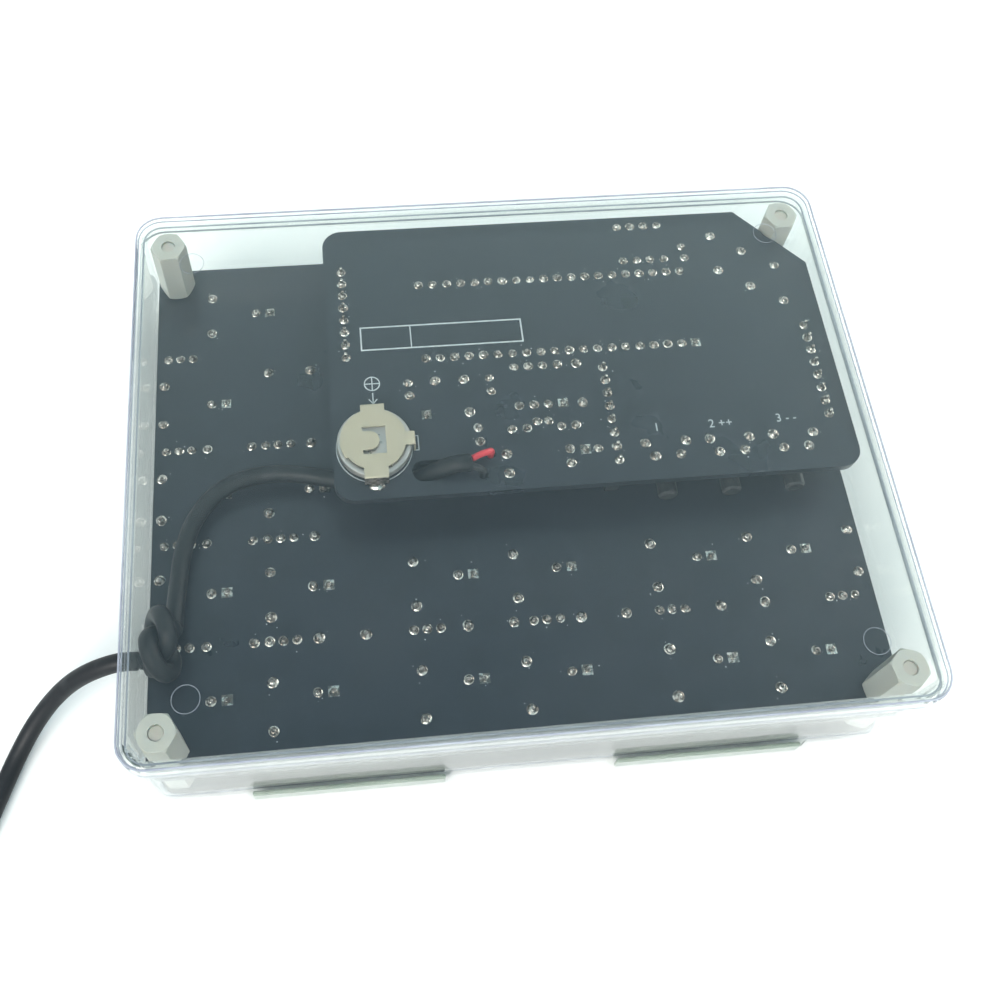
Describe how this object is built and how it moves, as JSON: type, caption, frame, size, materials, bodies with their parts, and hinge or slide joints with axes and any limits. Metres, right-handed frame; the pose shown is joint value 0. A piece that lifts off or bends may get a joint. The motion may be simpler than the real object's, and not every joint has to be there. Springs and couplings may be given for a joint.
{
  "type": "binary clock",
  "caption": "Binary desk clock in a clear moulded case: lamp columns in front, plug-in control board behind, lift-off rear cover, set buttons, backup cell and power lead with plug.",
  "frame": {"origin": "middle of the front face, on the surface that the clock lies on, face down", "axes": "+X right and +Y up in the rear view, +Z out of the rear cover"},
  "size_m": [0.2075, 0.1247, 0.0292],
  "materials": {
    "clear_case": "clear moulded",
    "board_mask": "black solder mask",
    "nylon": "natural nylon",
    "black_plastic": "moulded black",
    "clear_lamp": "clear lens",
    "clip_metal": "tinned spring sheet",
    "cell_metal": "plated steel",
    "cord_rubber": "matt black sheath",
    "red_wire": "red core"
  },
  "bodies": {
    "clock_body": {"front_case": "clear_case", "main_board": "board_mask", "control_board": "board_mask", "rear_standoff_upper_left": "nylon", "rear_standoff_upper_right": "nylon", "rear_standoff_lower_left": "nylon", "rear_standoff_lower_right": "nylon", "front_spacer_upper_left": "nylon", "front_spacer_upper_right": "nylon", "front_spacer_lower_left": "nylon", "front_spacer_lower_right": "nylon", "lamp_second_unit_1": "clear_lamp", "lamp_second_unit_2": "clear_lamp", "lamp_second_unit_4": "clear_lamp", "lamp_second_unit_8": "clear_lamp", "lamp_second_ten_1": "clear_lamp", "lamp_second_ten_2": "clear_lamp", "lamp_second_ten_4": "clear_lamp", "lamp_minute_unit_1": "clear_lamp", "lamp_minute_unit_2": "clear_lamp", "lamp_minute_unit_4": "clear_lamp", "lamp_minute_unit_8": "clear_lamp", "lamp_minute_ten_1": "clear_lamp", "lamp_minute_ten_2": "clear_lamp", "lamp_minute_ten_4": "clear_lamp", "lamp_hour_unit_1": "clear_lamp", "lamp_hour_unit_2": "clear_lamp", "lamp_hour_unit_4": "clear_lamp", "lamp_hour_unit_8": "clear_lamp", "lamp_hour_ten_1": "clear_lamp", "lamp_hour_ten_2": "clear_lamp", "socket_strip_left": "black_plastic", "socket_strip_middle": "black_plastic", "socket_strip_right": "black_plastic", "pin_header_left": "black_plastic", "pin_header_middle": "black_plastic", "pin_header_right": "black_plastic", "mcu_socket": "black_plastic", "mcu": "black_plastic", "lower_chip": "black_plastic", "upper_chip": "black_plastic", "crystal": "cell_metal", "watch_crystal": "cell_metal", "diode": "black_plastic", "push_switch_1": "black_plastic", "push_switch_2": "black_plastic", "push_switch_3": "black_plastic", "battery_clip": "clip_metal", "cord_inside": "cord_rubber", "wire_red": "red_wire", "wire_black": "cord_rubber", "cord": "cord_rubber", "cord_coil": "cord_rubber", "usb_grip": "black_plastic", "usb_plug": "cell_metal"},
    "cover": {"rear_cover": "clear_case"},
    "button_1": {"push_button_1": "black_plastic"},
    "button_2": {"push_button_2": "black_plastic"},
    "button_3": {"push_button_3": "black_plastic"},
    "cell": {"coin_cell": "cell_metal"}
  },
  "joints": [
    {"name": "cover_lift", "type": "slide", "parent": "clock_body", "child": "cover", "axis": [0, 0, 1], "range_m": [0, 0.02]},
    {"name": "button_1_press", "type": "slide", "parent": "clock_body", "child": "button_1", "axis": [0, 1, 0], "range_m": [0, 0.00025], "stiffness_N_per_m": 6000},
    {"name": "button_2_press", "type": "slide", "parent": "clock_body", "child": "button_2", "axis": [0, 1, 0], "range_m": [0, 0.00025], "stiffness_N_per_m": 6000},
    {"name": "button_3_press", "type": "slide", "parent": "clock_body", "child": "button_3", "axis": [0, 1, 0], "range_m": [0, 0.00025], "stiffness_N_per_m": 6000},
    {"name": "cell_slide", "type": "slide", "parent": "clock_body", "child": "cell", "axis": [-1, 0, 0], "range_m": [0, 0.013]}
  ]
}
